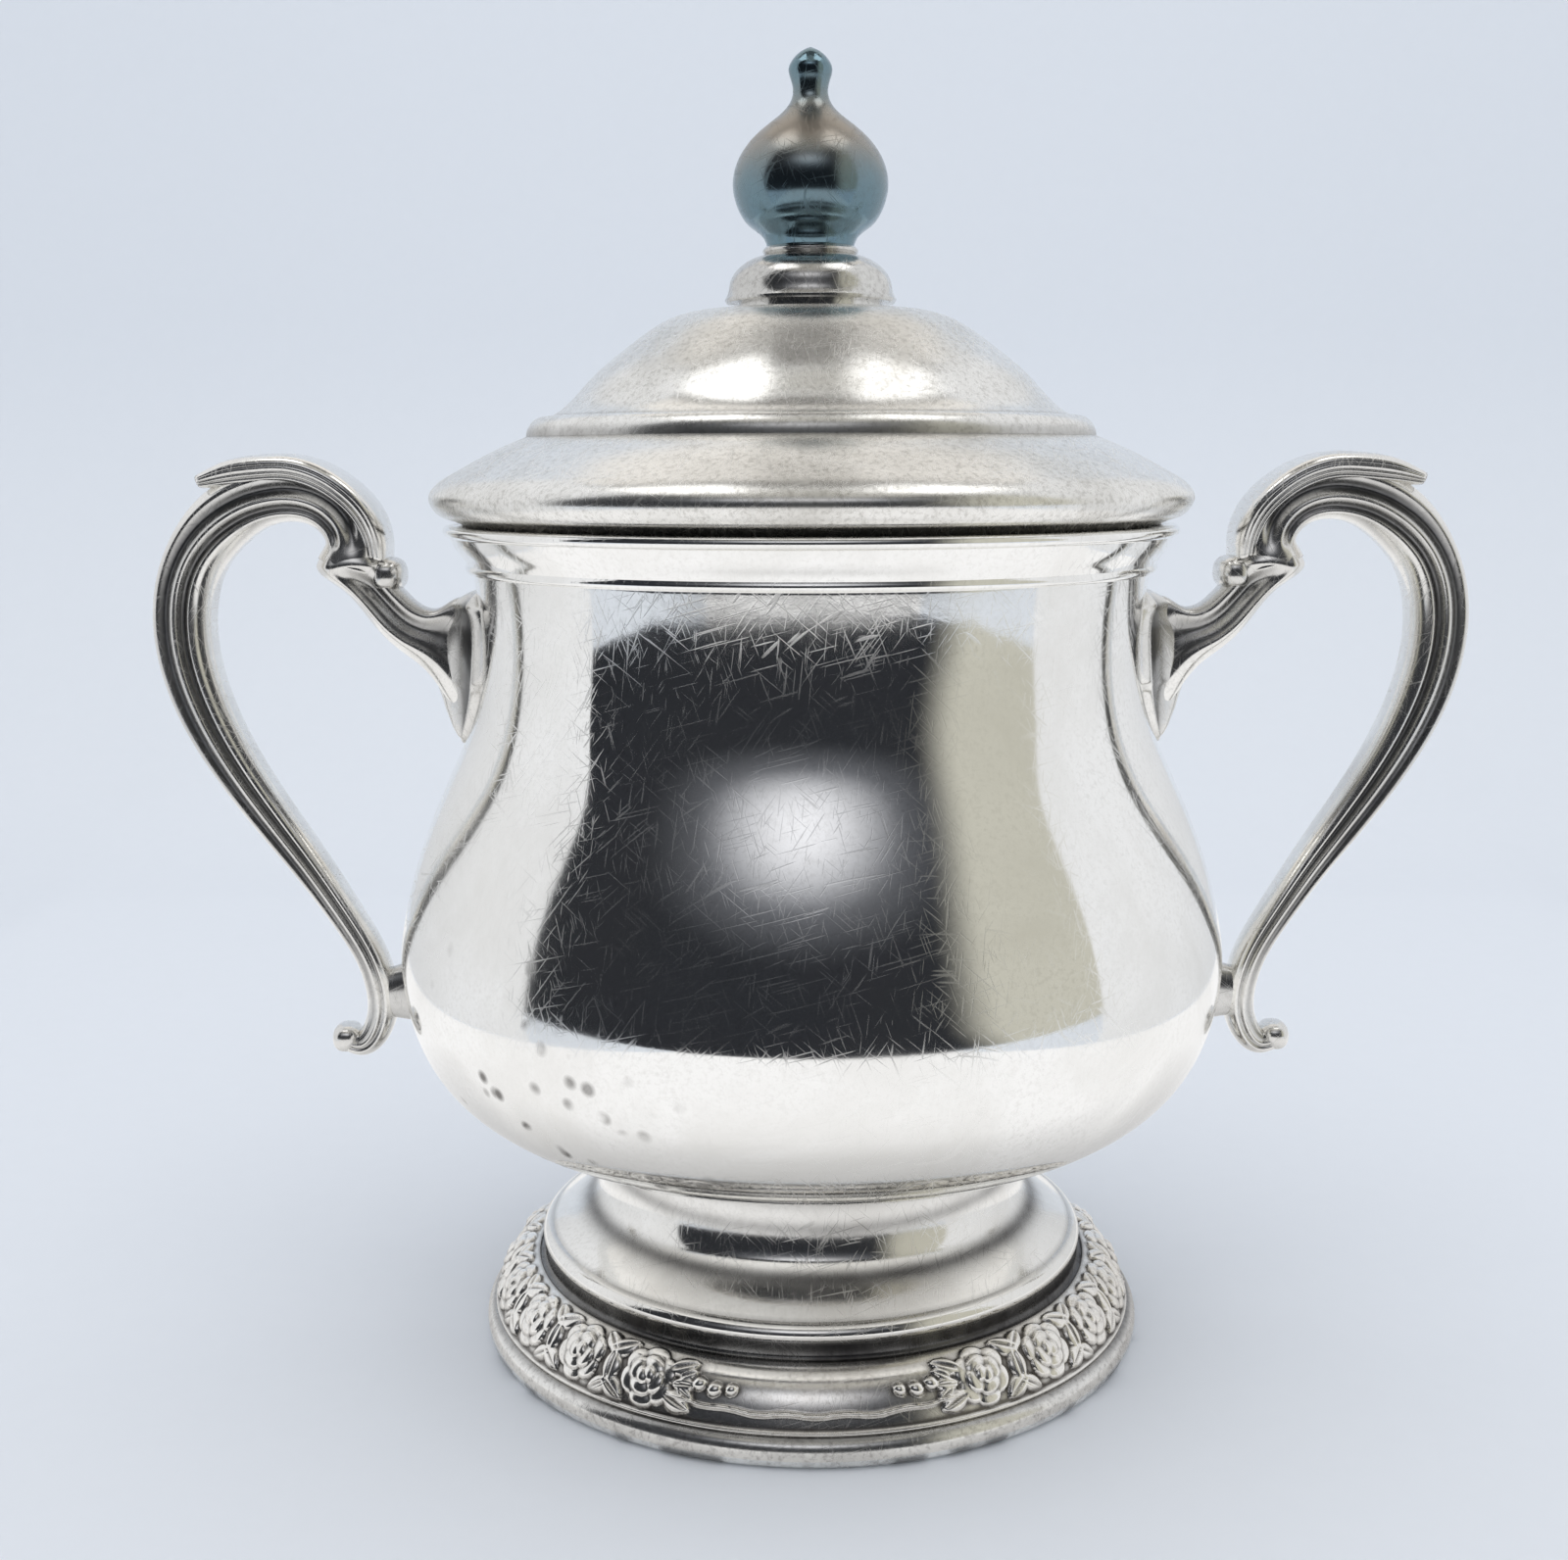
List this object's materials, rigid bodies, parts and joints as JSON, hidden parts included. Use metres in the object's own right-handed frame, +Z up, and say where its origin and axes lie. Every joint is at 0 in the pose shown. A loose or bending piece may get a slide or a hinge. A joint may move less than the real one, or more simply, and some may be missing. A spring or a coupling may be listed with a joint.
{
  "type": "lidded sugar bowl",
  "caption": "Round-bellied plated sugar bowl with scroll handles, a flower-bordered foot and a lift-off domed lid with a turned finial.",
  "frame": {"origin": "middle of the circle on which the foot stands", "axes": "+Z up along the axis of the bowl and lid, +X through the right-hand handle"},
  "size_m": [0.17, 0.1072, 0.1652],
  "materials": {
    "bowl_plate": "polished",
    "band_plate": "polished",
    "foot_plate": "polished",
    "border_plate": "gloss",
    "rim_plate": "gloss",
    "handle_plate": "polished",
    "lid_plate": "satin",
    "bezel_plate": "satin",
    "cup_plate": "gloss",
    "bulb_plate": "gloss",
    "fittings": "satin"
  },
  "bodies": {
    "bowl": {"bowl_shell": "bowl_plate", "mouth_band": "band_plate", "foot_pedestal": "foot_plate", "foot_border": "border_plate", "foot_rim": "rim_plate", "handle_scroll_right": "handle_plate", "handle_scroll_left": "handle_plate", "handle_palm_right": "handle_plate", "handle_palm_left": "handle_plate"},
    "lid": {"lid_shell": "lid_plate", "lid_bezel": "bezel_plate", "finial_seat": "cup_plate", "finial_cup": "cup_plate", "finial_bulb": "bulb_plate", "finial_stud": "fittings", "finial_washer": "fittings", "finial_nut": "fittings"}
  },
  "joints": [
    {"name": "lid_lift", "type": "slide", "parent": "bowl", "child": "lid", "axis": [0, 0, 1], "range_m": [0, 0.1]}
  ]
}
